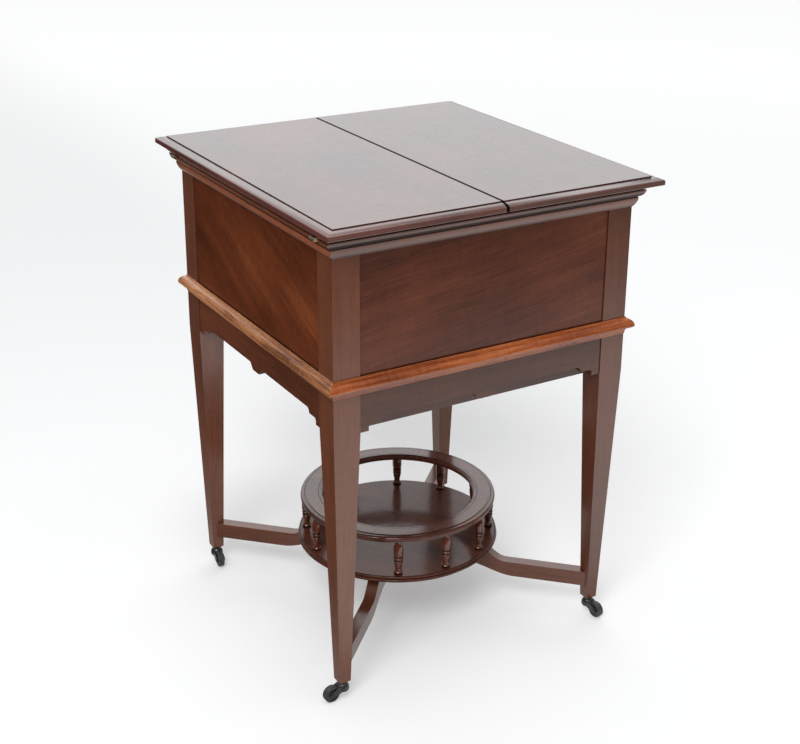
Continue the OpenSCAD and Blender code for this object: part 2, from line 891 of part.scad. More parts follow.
leg(-1, -1);  // leg_front_left
leg(1, -1);  // leg_front_right
leg(-1, 1);  // leg_back_left
leg(1, 1);  // leg_back_right
panel(0);  // panel_front
panel(1);  // panel_right
panel(2);  // panel_back
panel(3);  // panel_left
cornice(0);  // cornice_front
cornice(1);  // cornice_right
cornice(2);  // cornice_back
cornice(3);  // cornice_left
waist_moulding(0);  // waist_moulding_front
waist_moulding(1);  // waist_moulding_right
waist_moulding(2);  // waist_moulding_back
waist_moulding(3);  // waist_moulding_left
apron(0);  // apron_front
apron(1);  // apron_right
apron(2);  // apron_back
apron(3);  // apron_left
bottom_board();
guide_rails();
leaf_board(0);  // left_leaf_board
side_batten(0);  // left_leaf_side_batten
end_batten(0, 1);  // left_leaf_front_batten
end_batten(0, -1);  // left_leaf_back_batten
leaf_board(1);  // right_leaf_board
side_batten(1);  // right_leaf_side_batten
end_batten(1, 1);  // right_leaf_front_batten
end_batten(1, -1);  // right_leaf_back_batten
case_hinge_plates();
hinge_pins();
leaf_hinge_plates(0);  // left_leaf_hinge_plates
leaf_hinge_plates(1);  // right_leaf_hinge_plates
tray_ends();
tray_sides();
tray_bottom();
tray_dividers();
stretcher_lower();
stretcher_upper();
tier_disc();
ring_segment(0);  // ring_segment_front
ring_segment(1);  // ring_segment_right
ring_segment(2);  // ring_segment_back
ring_segment(3);  // ring_segment_left
gallery_spindles();
caster_sockets();
caster_fork(0);  // fork_front_left
caster_fork(1);  // fork_front_right
caster_fork(2);  // fork_back_left
caster_fork(3);  // fork_back_right
caster_axle(0);  // axle_front_left
caster_axle(1);  // axle_front_right
caster_axle(2);  // axle_back_left
caster_axle(3);  // axle_back_right
caster_wheel(0);  // wheel_front_left
caster_wheel(1);  // wheel_front_right
caster_wheel(2);  // wheel_back_left
caster_wheel(3);  // wheel_back_right
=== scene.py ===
"""Edwardian sewing table: camera, soft studio, French-polished mahogany and small fittings.

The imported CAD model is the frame. Lengths are in metres, +Z is up and the front is at -Y.
"""
import json
import math
import random

import bpy
from mathutils import Matrix, Vector


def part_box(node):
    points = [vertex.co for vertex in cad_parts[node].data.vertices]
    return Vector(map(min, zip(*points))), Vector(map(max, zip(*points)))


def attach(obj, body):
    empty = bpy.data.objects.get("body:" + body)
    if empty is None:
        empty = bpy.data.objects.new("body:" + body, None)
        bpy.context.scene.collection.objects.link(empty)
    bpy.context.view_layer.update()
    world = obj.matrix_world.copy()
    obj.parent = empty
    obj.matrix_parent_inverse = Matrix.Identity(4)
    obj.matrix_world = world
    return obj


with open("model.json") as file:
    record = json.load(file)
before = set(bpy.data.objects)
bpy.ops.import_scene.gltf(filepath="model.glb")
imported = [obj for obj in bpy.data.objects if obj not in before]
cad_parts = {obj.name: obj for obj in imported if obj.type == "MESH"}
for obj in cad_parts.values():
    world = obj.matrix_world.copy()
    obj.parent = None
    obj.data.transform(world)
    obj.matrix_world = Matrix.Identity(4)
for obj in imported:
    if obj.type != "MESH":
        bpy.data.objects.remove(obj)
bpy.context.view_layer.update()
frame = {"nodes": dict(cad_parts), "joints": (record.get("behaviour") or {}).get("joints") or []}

NODES = frame["nodes"]
MM = 0.001
X_AXIS = Vector((1, 0, 0))
Y_AXIS = Vector((0, 1, 0))
Z_AXIS = Vector((0, 0, 1))

# ---------------------------------------------------------------- camera

CAMERA_PLACE = Vector((-1.06621, -1.80364, 1.28952))
CAMERA_YAW = math.radians(32.55)
CAMERA_PITCH = math.radians(21.33)
CAMERA_ROLL = math.radians(1.07)
CAMERA_LENS = 65.40
CAMERA_SHIFT = (-0.0565, -0.0632)


def make_camera():
    """Looks from the front left and a little above, with the yaw, pitch and roll given above."""
    ahead = Vector((math.sin(CAMERA_YAW), math.cos(CAMERA_YAW), 0)) * math.cos(CAMERA_PITCH)
    ahead.z = -math.sin(CAMERA_PITCH)
    level_right = Vector((math.cos(CAMERA_YAW), -math.sin(CAMERA_YAW), 0))
    level_up = level_right.cross(ahead)
    right = level_right * math.cos(CAMERA_ROLL) + level_up * math.sin(CAMERA_ROLL)
    up = level_up * math.cos(CAMERA_ROLL) - level_right * math.sin(CAMERA_ROLL)
    data = bpy.data.cameras.new("camera")
    data.sensor_width = 36
    data.lens = CAMERA_LENS
    data.shift_x, data.shift_y = CAMERA_SHIFT
    camera = bpy.data.objects.new("camera", data)
    bpy.context.scene.collection.objects.link(camera)
    turn = Matrix((right, up, -ahead)).transposed().to_4x4()
    camera.matrix_world = Matrix.Translation(CAMERA_PLACE) @ turn
    bpy.context.scene.camera = camera


# ---------------------------------------------------------------- node helpers


def add(tree, kind, inputs=(), **settings):
    """Adds a shader node. An input is a number, a colour or the output that feeds it."""
    node = tree.nodes.new("ShaderNode" + kind)
    for key, value in settings.items():
        setattr(node, key, value)
    for key, value in dict(inputs).items():
        if isinstance(value, bpy.types.NodeSocket):
            tree.links.new(value, node.inputs[key])
        else:
            node.inputs[key].default_value = value
    return node


def calc(tree, operation, a, b=0.0, c=0.0, clamp=False):
    return add(tree, "Math", {0: a, 1: b, 2: c}, operation=operation, use_clamp=clamp).outputs[0]


def fold(tree, operation, values):
    """Takes the values together, from the first to the last."""
    total = values[0]
    for value in values[1:]:
        total = calc(tree, operation, total, value)
    return total


def plus(tree, *values):
    return fold(tree, "ADD", values)


def times(tree, *values):
    return fold(tree, "MULTIPLY", values)


def most(tree, *values):
    return fold(tree, "MAXIMUM", values)


def blend_in(tree, value, factor, base, clamp=False):
    """The base, plus the value times the factor."""
    return calc(tree, "MULTIPLY_ADD", value, factor, base, clamp)


def swing(tree, pattern, reach):
    """A 0 to 1 pattern, turned into one that swings to both sides of 0, by the reach in all."""
    return times(tree, calc(tree, "SUBTRACT", pattern, 0.5), reach)


def ramp(tree, value, low, high, to_low=0.0, to_high=1.0):
    """Smooth step from to_low at low to to_high at high."""
    inputs = {"Value": value, "From Min": low, "From Max": high, "To Min": to_low, "To Max": to_high}
    return add(tree, "MapRange", inputs, interpolation_type="SMOOTHSTEP").outputs[0]


def between(tree, value, low, high, soft):
    """1 between low and high, and 0 beyond, with soft flanks."""
    rise = ramp(tree, value, low - soft, low)
    return times(tree, rise, ramp(tree, value, high, high + soft, 1.0, 0.0))


def near(tree, value, target, width):
    """1 where value is within half a width of target, and 0 beyond a width."""
    gap = calc(tree, "ABSOLUTE", calc(tree, "SUBTRACT", value, target))
    return ramp(tree, gap, width * 0.5, width, 1.0, 0.0)


def object_place(tree):
    return add(tree, "TexCoord").outputs["Object"]


def split(tree, vector):
    """The x, y and z of a vector."""
    return add(tree, "SeparateXYZ", {0: vector}).outputs


def measure(tree, operation, a, b=(0, 0, 0)):
    """A number worked out from two vectors."""
    return add(tree, "VectorMath", {0: a, 1: b}, operation=operation).outputs[1]


def stretch(tree, vector, factors):
    return add(tree, "VectorMath", {0: vector, 1: factors}, operation="MULTIPLY").outputs[0]


def noise(tree, vector, scale, detail=2.0, roughness=0.5, output=0):
    inputs = {"Vector": vector, "Scale": scale, "Detail": detail, "Roughness": roughness}
    return add(tree, "TexNoise", inputs).outputs[output]


def sheltered(tree, distance, boxed_in, open_to_air, depth):
    """The depth where a surface is boxed in within the distance, and 0 where it is open."""
    crevice = add(tree, "AmbientOcclusion", {"Distance": distance}, samples=8).outputs["AO"]
    return ramp(tree, crevice, boxed_in, open_to_air, depth, 0.0)


def bump(tree, height, strength, depth):
    inputs = {"Strength": strength, "Distance": depth, "Height": height}
    return add(tree, "Bump", inputs).outputs[0]


def mix_colour(tree, factor, a, b):
    node = add(tree, "Mix", data_type="RGBA", blend_type="MIX")
    for socket, value in ((node.inputs[0], factor), (node.inputs[6], a), (node.inputs[7], b)):
        if isinstance(value, bpy.types.NodeSocket):
            tree.links.new(value, socket)
        else:
            socket.default_value = value
    return node.outputs[2]


def colour_ramp(tree, value, stops):
    node = add(tree, "ValToRGB", {0: value})
    elements = node.color_ramp.elements
    while len(elements) < len(stops):
        elements.new(0.5)
    for element, (place, colour) in zip(elements, stops):
        element.position = place
        element.color = (*colour, 1)
    return node.outputs[0]


def new_material(name):
    """A material with an empty node tree, and that tree."""
    material = bpy.data.materials.new(name)
    material.use_nodes = True
    material.node_tree.nodes.clear()
    return material, material.node_tree


# ---------------------------------------------------------------- studio

# The level direction from the camera to the far side of the table
BEHIND = (math.sin(CAMERA_YAW), math.cos(CAMERA_YAW), 0.0)
ROOM_LIGHT = 0.4
BACKDROP = (0.94, 0.945, 0.95, 1)
FLOOR_HALF = 15.0
FLOOR_LEVEL = -0.2 * MM
FLOOR_SEEN = (0.80, 0.81, 0.815, 1)
FLOOR_LIGHTING = (0.6, 0.6, 0.6, 1)
# Soft shade on the floor: the middle of each spot, its radius and how much it takes away
FLOOR_SHADES = (
    ((0.34, 0.52, 0), 0.40, 0.12),
    ((-0.08, 0.30, 0), 0.26, 0.13),
    ((0.05, -0.03, 0), 0.25, 0.08),
)
# Round soft lights: place, target, diameter and watts
LIGHTS = {
    "key": ((-2.0, -1.9, 3.0), (0, 0, 0.35), 1.9, 64),
    "overhead": ((0.1, 0.0, 3.3), (0, 0, 0.5), 2.4, 27),
}


def make_world():
    """Pale for the camera; a dim room for light and gloss, brighter low behind the table."""
    world = bpy.data.worlds.new("studio")
    bpy.context.scene.world = world
    world.use_nodes = True
    tree = world.node_tree
    tree.nodes.clear()
    rays = add(tree, "LightPath").outputs
    direction = add(tree, "TexCoord").outputs["Generated"]
    height = split(tree, direction)[2]

    # The glow is a lobe behind the table, in a band above the floor, and stronger higher up
    lobe = ramp(tree, measure(tree, "DOT_PRODUCT", direction, BEHIND), 0.5, 0.86)
    band = times(tree, ramp(tree, height, 0.0, 0.1), ramp(tree, height, 0.55, 0.85, 1.0, 0.0))
    glow = times(tree, lobe, band, ramp(tree, height, 0.15, 0.5, 1.02, 1.47))

    # Gloss sees the room darker near the floor than overhead
    sheen = times(tree, rays["Is Glossy Ray"], ramp(tree, height, 0.05, 0.6, -0.37, 0.12))
    strength = plus(tree, glow, plus(tree, sheen, ROOM_LIGHT))
    soft = add(tree, "Background", {"Color": (0.99, 0.99, 1.0, 1), "Strength": strength})
    plain = add(tree, "Background", {"Color": BACKDROP, "Strength": 1.0})
    shaders = {0: rays["Is Camera Ray"], 1: soft.outputs[0], 2: plain.outputs[0]}
    add(tree, "OutputWorld", {0: add(tree, "MixShader", shaders).outputs[0]})


def floor_lift(tree, ground):
    """How much the seen floor is brightened: more far away and to the right, less in the shade."""
    reach = measure(tree, "LENGTH", ground)
    under = ramp(tree, reach, 0.25, 0.7, 0.32, 0.23)
    far = ramp(tree, reach, 0.9, 5.0, 0.0, 0.2)
    right = ramp(tree, split(tree, ground)[0], 0.3, 1.0, 0.0, 0.1)
    lift = plus(tree, under, far, right)
    for middle, radius, depth in FLOOR_SHADES:
        away = measure(tree, "DISTANCE", ground, middle)
        lift = plus(tree, lift, ramp(tree, away, 0.05, radius, -depth, 0.0))
    return lift


def floor_mirrored(tree, ground):
    """What gloss sees of the floor: bright at the front right and dim elsewhere."""
    x, y, _ = split(tree, ground)
    front = ramp(tree, y, -1.75, -0.9, 0.2, 1.6)
    right = ramp(tree, x, -0.42, -0.14, 0.015, 1.0)
    behind = ramp(tree, y, -0.45, -0.2, 1.0, 0.35)
    return add(tree, "Emission", {"Strength": times(tree, front, right, behind)})


def make_floor():
    """Pale seamless floor: one paint for the camera, a darker one for light, and a mirrored look."""
    mesh = bpy.data.meshes.new("floor")
    corners = [(-1, -1), (1, -1), (1, 1), (-1, 1)]
    mesh.from_pydata([(x * FLOOR_HALF, y * FLOOR_HALF, 0) for x, y in corners], [], [(0, 1, 2, 3)])
    floor = bpy.data.objects.new("floor", mesh)
    bpy.context.scene.collection.objects.link(floor)
    floor.location.z = FLOOR_LEVEL
    material, tree = new_material("floor")
    ground = object_place(tree)
    rays = add(tree, "LightPath").outputs
    paint = mix_colour(tree, rays["Is Camera Ray"], FLOOR_LIGHTING, FLOOR_SEEN)
    lit = add(tree, "BsdfDiffuse", {"Color": paint})
    paper = ramp(tree, noise(tree, ground, 60, 3), 0.2, 0.8, 0.985, 1.0)
    lift = times(tree, paper, times(tree, floor_lift(tree, ground), rays["Is Camera Ray"]))
    base = add(tree, "Emission", {"Color": (1, 1, 1, 1), "Strength": lift})
    pale = add(tree, "AddShader", {0: lit.outputs[0], 1: base.outputs[0]})
    mirrored = floor_mirrored(tree, ground)
    shaders = {0: rays["Is Glossy Ray"], 1: pale.outputs[0], 2: mirrored.outputs[0]}
    add(tree, "OutputMaterial", {0: add(tree, "MixShader", shaders).outputs[0]})
    mesh.materials.append(material)


def make_light(name, place, target, size, power):
    data = bpy.data.lights.new(name, "AREA")
    data.shape = "DISK"
    data.size = size
    data.energy = power
    light = bpy.data.objects.new(name, data)
    bpy.context.scene.collection.objects.link(light)
    light.location = place
    light.rotation_euler = (Vector(target) - Vector(place)).to_track_quat("-Z", "Y").to_euler()


# ---------------------------------------------------------------- wood

# Each kind: four colours from dark to light, how strong its figure is, and its polish; the top also sets
# how strong its painted crevice shade is
WOODS = {
    "top": dict(
        stops=((0.022, 0.008, 0.006), (0.060, 0.020, 0.014), (0.105, 0.036, 0.026), (0.17, 0.060, 0.042)),
        streaks=0.55, ripple=0.12, blotches=1.1, roughness=0.30,
        coat=1.0, coat_roughness=0.17, coat_ior=1.8, crevice_shade=0.15,
    ),
    "panel": dict(
        stops=((0.045, 0.012, 0.006), (0.105, 0.026, 0.011), (0.165, 0.041, 0.017), (0.26, 0.075, 0.030)),
        streaks=0.75, ripple=0.16, blotches=0.85, roughness=0.36, coat=0.55, coat_roughness=0.2,
    ),
    "legs": dict(
        stops=((0.075, 0.020, 0.009), (0.160, 0.045, 0.019), (0.215, 0.064, 0.028), (0.30, 0.105, 0.048)),
        streaks=0.5, ripple=0.1, blotches=0.45, roughness=0.36, coat=0.8, coat_roughness=0.2,
    ),
    "stretcher": dict(
        stops=((0.068, 0.022, 0.013), (0.140, 0.046, 0.024), (0.200, 0.070, 0.038), (0.29, 0.11, 0.06)),
        streaks=0.55, ripple=0.1, blotches=0.5, roughness=0.38, coat=0.8, coat_roughness=0.22,
    ),
    "moulding": dict(
        stops=((0.040, 0.011, 0.006), (0.105, 0.031, 0.016), (0.170, 0.053, 0.026), (0.26, 0.092, 0.045)),
        streaks=0.6, ripple=0.12, blotches=0.6, roughness=0.32, coat=0.8, coat_roughness=0.16,
    ),
    # The waist moulding's wood: its own orange, made lighter as painted light for what its ovolo catches
    # from above
    "bright": dict(
        stops=((0.12, 0.026, 0.007), (0.33, 0.080, 0.017), (0.47, 0.13, 0.032), (0.60, 0.21, 0.065)),
        streaks=1.3, ripple=0.25, blotches=1.0, roughness=0.34, coat=0.8, coat_roughness=0.16,
    ),
    "apron": dict(
        stops=((0.035, 0.013, 0.009), (0.082, 0.027, 0.015), (0.125, 0.041, 0.022), (0.18, 0.064, 0.036)),
        streaks=0.6, ripple=0.15, blotches=0.6, roughness=0.38, coat=0.65, coat_roughness=0.24,
    ),
    "ring": dict(
        stops=((0.030, 0.010, 0.006), (0.085, 0.026, 0.015), (0.145, 0.045, 0.026), (0.22, 0.08, 0.045)),
        streaks=0.9, ripple=0.2, blotches=0.7, roughness=0.28, coat=0.72, coat_roughness=0.12,
    ),
    "disc": dict(
        stops=((0.030, 0.010, 0.006), (0.075, 0.023, 0.013), (0.120, 0.037, 0.021), (0.19, 0.066, 0.038)),
        streaks=1.1, ripple=0.35, blotches=0.7, roughness=0.30, coat=0.32, coat_roughness=0.13,
    ),
    "turned": dict(
        stops=((0.045, 0.012, 0.006), (0.115, 0.033, 0.014), (0.19, 0.060, 0.025), (0.34, 0.12, 0.05)),
        streaks=0.8, ripple=0.2, blotches=0.6, roughness=0.26, coat=0.8, coat_roughness=0.1,
    ),
    "interior": dict(
        stops=((0.14, 0.055, 0.022), (0.26, 0.115, 0.05), (0.36, 0.17, 0.08), (0.48, 0.25, 0.13)),
        streaks=0.9, ripple=0.2, blotches=0.5, roughness=0.5, coat=0.15, coat_roughness=0.3,
    ),
}
# Red, green and blue factors of single pieces: the leaf boards and ring segments in their own tones, the
# rest mostly painted light and shade. The left-side pieces are lighter and more orange, the front right
# leg and the spindles darker, and the other legs and the left waist moulding greyed by a painted sheen
TINTS_AND_PAINTED_LIGHT = {
    # Painted shade on the front right leg, and a painted grey sheen on the other legs
    "leg_front_left": (1.03, 1.14, 1.25),
    "leg_front_right": (0.8, 0.88, 1.0),
    "leg_back_left": (1.08, 1.3, 1.7),
    "leg_back_right": (1.15, 1.35, 1.5),
    "panel_front": (0.96, 0.95, 0.98),
    "panel_back": (0.9, 0.9, 0.9),
    # Painted light: the left panel lighter and more orange
    "panel_left": (1.16, 1.12, 0.85),
    "cornice_front": (1.05, 1.0, 1.0),
    "cornice_right": (1.05, 1.0, 1.0),
    "cornice_back": (1.05, 1.0, 1.0),
    # Painted light: the left cornice lighter and more orange
    "cornice_left": (2.0, 1.75, 1.5),
    "waist_moulding_front": (1.08, 1.0, 1.0),
    "waist_moulding_right": (1.08, 1.0, 1.0),
    "waist_moulding_back": (1.08, 1.0, 1.0),
    # Painted sheen greys the left waist moulding; painted light makes the left apron lighter
    "waist_moulding_left": (1.35, 2.2, 4.0),
    "apron_left": (1.55, 1.35, 1.1),
    "left_leaf_board": (0.98, 0.95, 1.05),
    "right_leaf_board": (0.86, 0.96, 1.0),
    "ring_segment_right": (1.3, 1.1, 0.95),
    "ring_segment_back": (1.15, 1.08, 1.0),
    "ring_segment_left": (0.9, 1.0, 1.05),
    # Painted shade: the spindles darker
    "gallery_spindles": (0.9, 0.8, 0.8),
}
STOP_PLACES = (0.12, 0.4, 0.62, 0.92)
# The colour that pores, painted shade and grime in crevices, and painted shade lines darken the wood to;
# then how far the painted crevice shade reaches and how strong it usually is
PORE_AND_SHADE_COLOUR = (0.006, 0.004, 0.003, 1)
CREVICE_SHADE_REACH = 5 * MM
CREVICE_SHADE_USUAL = 0.6
COAT_IOR_USUAL = 1.6
# Under its coat the wood hardly shines by itself
WOOD_SPECULAR = 0.06
PORE_DARKNESS = 0.45
WOOD_RELIEF = 0.12 * MM
WORN_LIGHTER = 0.22
WORN_ROUGHER = 0.06
# How much lighter a painted highlight makes the tone
PAINTED_HIGHLIGHT_LIGHTER = 0.34
# How much of the coat a dark line takes away: the painted shade lines and the dark seam
LINE_DULLING = 0.85


def make_grain_group():
    """Mahogany grain along Z: streaks that wander, pores, ripple figure and slow blotches."""
    group = bpy.data.node_groups.new("mahogany_grain", "ShaderNodeTree")
    face = group.interface
    face.new_socket("Vector", in_out="INPUT", socket_type="NodeSocketVector")
    for name in ("Streaks", "Ripple", "Blotches"):
        face.new_socket(name, in_out="INPUT", socket_type="NodeSocketFloat")
    for name in ("Tone", "Pores", "Height", "Blotch"):
        face.new_socket(name, in_out="OUTPUT", socket_type="NodeSocketFloat")
    give = group.nodes.new("NodeGroupInput").outputs
    take = group.nodes.new("NodeGroupOutput").inputs
    raw = give["Vector"]

    # The grain wanders sideways, slowly along its length
    slow = noise(group, stretch(group, raw, (1, 1, 0.35)), 9, 2, 0.5, output=1)
    middle = {0: slow, 1: (0.5, 0.5, 0.5)}
    centred = add(group, "VectorMath", middle, operation="SUBTRACT").outputs[0]
    wander = stretch(group, centred, (0.022, 0.022, 0.0))
    bent = add(group, "VectorMath", {0: raw, 1: wander}, operation="ADD").outputs[0]

    # Broad bands, fine lines and single hairs, drawn out along the grain
    long = stretch(group, bent, (1, 1, 0.045))
    broad = noise(group, long, 55, 3, 0.55)
    fine = noise(group, long, 300, 4, 0.6)
    hair = noise(group, stretch(group, bent, (1, 1, 0.03)), 1300, 2, 0.6)
    streaks = plus(group, swing(group, broad, 0.55), swing(group, fine, 0.75), swing(group, hair, 0.4))

    # Ripple across the grain, and blotches
    cross = noise(group, stretch(group, bent, (0.16, 0.16, 1)), 150, 1.5, 0.5)
    blotch = noise(group, stretch(group, raw, (1, 1, 0.55)), 7.5, 2, 0.55)
    ripple = swing(group, cross, give["Ripple"])
    blotches = swing(group, blotch, give["Blotches"])
    tone = plus(group, times(group, streaks, give["Streaks"]), ripple, blotches, 0.5)

    # Pores are short dark dashes, and the deepest part of the relief
    pores = ramp(group, noise(group, stretch(group, bent, (1, 1, 0.022)), 2100, 1, 0.5), 0.6, 0.74)
    height = blend_in(group, pores, -0.8, times(group, fine, 0.5))
    height = blend_in(group, cross, times(group, give["Ripple"], 0.6), height)
    for name, value in (("Tone", tone), ("Pores", pores), ("Height", height), ("Blotch", blotch)):
        group.links.new(value, take[name])
    return group


grain_group = make_grain_group()
shift = random.Random(21)


def grain_vector(tree, along):
    """Object coordinates turned so that the grain runs along Z, and moved to a place of their own."""
    turn = along.normalized().rotation_difference(Z_AXIS).to_euler("XYZ")
    offset = [shift.uniform(-3, 3) for _ in range(3)]
    inputs = {"Vector": object_place(tree), "Location": offset, "Rotation": turn}
    return add(tree, "Mapping", inputs).outputs[0]


def wood(piece, kind, along, lines=None, painted_highlight=None, worn=False):
    """French-polished mahogany of one kind for a piece, with its grain along a direction.

    lines(tree, place) may return a 0 to 1 mask of dark lines: painted shade in steps, quirks and grooves,
    and the dark joint of the seam. The second mask gives painted highlights, which are lighter. A worn
    wood
    is the rubbed edge of the piece: lighter, and a little rougher.
    """
    kit = WOODS[kind]
    material, tree = new_material(piece + "_arris" if worn else piece)
    place = object_place(tree)
    grain = tree.nodes.new("ShaderNodeGroup")
    grain.node_tree = grain_group
    tree.links.new(grain_vector(tree, along), grain.inputs["Vector"])
    for figure in ("streaks", "ripple", "blotches"):
        grain.inputs[figure.capitalize()].default_value = kit[figure]
    tone, pores, height, blotch = grain.outputs
    if worn:
        tone = plus(tree, tone, WORN_LIGHTER)
    # Painted highlight: the tone is lighter where its mask says
    if painted_highlight:
        tone = blend_in(tree, painted_highlight(tree, place), PAINTED_HIGHLIGHT_LIGHTER, tone)
    # Each piece's factors: partly its own tone, partly painted light and shade
    tint_and_light = TINTS_AND_PAINTED_LIGHT.get(piece, (1, 1, 1))
    stops = [tuple(value * factor for value, factor in zip(stop, tint_and_light)) for stop in kit["stops"]]
    colour = colour_ramp(tree, tone, list(zip(STOP_PLACES, stops)))
    # Painted shade and grime in crevices: darker where the surface is boxed in
    crevice_shade = sheltered(tree, CREVICE_SHADE_REACH, 0.42, 0.8, kit.get("crevice_shade", CREVICE_SHADE_USUAL))
    darker = most(tree, times(tree, pores, PORE_DARKNESS), crevice_shade)
    coat = kit["coat"]
    # Painted shade lines darken the colour and dull the coat; the seam among them is a dark joint
    if lines:
        mask = lines(tree, place)
        darker = most(tree, darker, mask)
        coat = blend_in(tree, mask, -LINE_DULLING * coat, coat)
    colour = mix_colour(tree, darker, colour, PORE_AND_SHADE_COLOUR)

    # The polish is uneven: duller in blotches and pores, and smeared by hands
    rough = kit["roughness"] - 0.08 + (WORN_ROUGHER if worn else 0.0)
    rough = blend_in(tree, blotch, 0.16, rough)
    rough = blend_in(tree, pores, 0.2, rough)
    smear = calc(tree, "SUBTRACT", noise(tree, place, 38, 3, 0.6), 0.5)
    rough = blend_in(tree, smear, 0.12, rough, clamp=True)

    orange_peel = noise(tree, place, 110, 2, 0.5)
    shader = add(tree, "BsdfPrincipled", {
        "Base Color": colour,
        "Roughness": rough,
        "Specular IOR Level": WOOD_SPECULAR,
        "Normal": bump(tree, height, 0.35, WOOD_RELIEF),
        "Coat Weight": coat,
        "Coat Roughness": kit["coat_roughness"],
        "Coat IOR": kit.get("coat_ior", COAT_IOR_USUAL),
        "Coat Normal": bump(tree, orange_peel, 0.12, WOOD_RELIEF),
    })
    add(tree, "OutputMaterial", {0: shader.outputs[0]})
    return material


# ---------------------------------------------------------------- metal and composition

BRASS_STOPS = ((0.3, (0.48, 0.36, 0.20)), (0.5, (0.80, 0.66, 0.42)), (0.7, (0.95, 0.84, 0.62)))
BRASS_DIRT = (0.05, 0.035, 0.02, 1)
BLACK_SHELTERED = (0.004, 0.004, 0.004, 1)


def brass():
    """Aged brass, tarnished in patches and brushed across."""
    material, tree = new_material("aged_brass")
    place = object_place(tree)
    tarnish = noise(tree, place, 140, 4, 0.6)
    brushed = noise(tree, stretch(tree, place, (1, 0.05, 1)), 2400, 2, 0.5)
    colour = colour_ramp(tree, tarnish, BRASS_STOPS)
    colour = mix_colour(tree, sheltered(tree, 1 * MM, 0.2, 0.6, 0.5), colour, BRASS_DIRT)
    rough = blend_in(tree, brushed, 0.16, blend_in(tree, tarnish, 0.3, 0.25))
    shader = add(tree, "BsdfPrincipled", {
        "Base Color": colour,
        "Roughness": rough,
        "Metallic": 1.0,
        "Normal": bump(tree, brushed, 0.3, 0.05 * MM),
    })
    add(tree, "OutputMaterial", {0: shader.outputs[0]})
    return material


def black_finish(name, base, scuffed, roughness, coat):
    """Black japanned iron or composition: scuffed in patches, darker where it is sheltered."""
    material, tree = new_material(name)
    place = object_place(tree)
    scuff = noise(tree, place, 420, 5, 0.65)
    cloud = noise(tree, place, 90, 3, 0.5)
    worn = times(tree, ramp(tree, scuff, 0.52, 0.66), ramp(tree, cloud, 0.38, 0.62))
    colour = mix_colour(tree, worn, (*base, 1), (*scuffed, 1))
    colour = mix_colour(tree, sheltered(tree, 3 * MM, 0.25, 0.7, 0.6), colour, BLACK_SHELTERED)
    rough = blend_in(tree, worn, 0.22, blend_in(tree, cloud, 0.15, roughness - 0.07))
    shader = add(tree, "BsdfPrincipled", {
        "Base Color": colour,
        "Roughness": rough,
        "Normal": bump(tree, scuff, 0.4, 0.08 * MM),
        "Coat Weight": coat,
        "Coat Roughness": 0.25,
    })
    add(tree, "OutputMaterial", {0: shader.outputs[0]})
    return material


# ---------------------------------------------------------------- dark lines of painted shade, the seam and painted highlights

FIELD_INSET = 14 * MM
FIELD_LINE = 0.75 * MM
# How dark the painted shade in the step round the field is
FIELD_LINE_DEPTH = 0.35
# The seam between the leaves is dark this far to each side
SEAM_LINE = 1.5 * MM
SPINDLE_GROOVES = (113.6 * MM, 135.8 * MM, 141.2 * MM)
# How dark the painted shade in the spindles' grooves and along the ring's and disc's lines is
GROOVE_DEPTH = 0.9
RING_INNER = 121.5 * MM
RING_INNER_INSET = 6.8 * MM
RING_OUTER_INSET = 6.5 * MM
DISC_LINE_INSET = 3.2 * MM


def field_lines(leaf):
    """Dark lines of a leaf: painted shade in the step round its raised field, on three sides, and the
    dark joint at the seam.
    """
    low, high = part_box(leaf + "_leaf_board")
    outward = -1 if leaf == "left" else 1
    edge_x = (high.x if outward > 0 else -low.x) - FIELD_INSET
    edge_y = high.y - FIELD_INSET
    seam_x = high.x if leaf == "left" else low.x

    def mask(tree, place):
        x, y, z = split(tree, place)
        out_x = times(tree, x, outward)
        out_y = calc(tree, "ABSOLUTE", y)
        side = near(tree, out_x, edge_x, FIELD_LINE)
        side = times(tree, side, ramp(tree, out_y, edge_y, edge_y + 1 * MM, 1.0, 0.0))
        end = near(tree, out_y, edge_y, FIELD_LINE)
        end = times(tree, end, ramp(tree, out_x, edge_x, edge_x + 1 * MM, 1.0, 0.0))
        top = ramp(tree, z, high.z - 4 * MM, high.z - 3 * MM)
        outer = times(tree, most(tree, side, end), times(tree, top, FIELD_LINE_DEPTH))
        return most(tree, outer, near(tree, x, seam_x, SEAM_LINE))

    return mask


def leaf_edge_highlight(tree, place):
    """Painted highlight on the moulded edge of the leaves, below the level of the raised field."""
    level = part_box("left_leaf_board")[1].z
    return ramp(tree, split(tree, place)[2], level - 7 * MM, level - 2.5 * MM, 1.0, 0.0)


def cornice_quirk_shade(tree, place):
    """Painted shade under the upper ovolo of the cornice, in the quirk."""
    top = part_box("cornice_front")[1].z
    quirk = between(tree, split(tree, place)[2], top - 11 * MM, top - 6 * MM, 1.6 * MM)
    return times(tree, quirk, 0.8)


def cornice_ovolo_highlight(tree, place):
    """Painted highlight on the bulge of the lower ovolo of the cornice."""
    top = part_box("cornice_front")[1].z
    return between(tree, split(tree, place)[2], top - 19 * MM, top - 14 * MM, 3 * MM)


def turned_lines(tree, place):
    """Painted shade: dark rings in the grooves of the spindles."""
    height = split(tree, place)[2]
    rings = [near(tree, height, groove, 1.5 * MM) for groove in SPINDLE_GROOVES]
    return times(tree, most(tree, *rings), GROOVE_DEPTH)


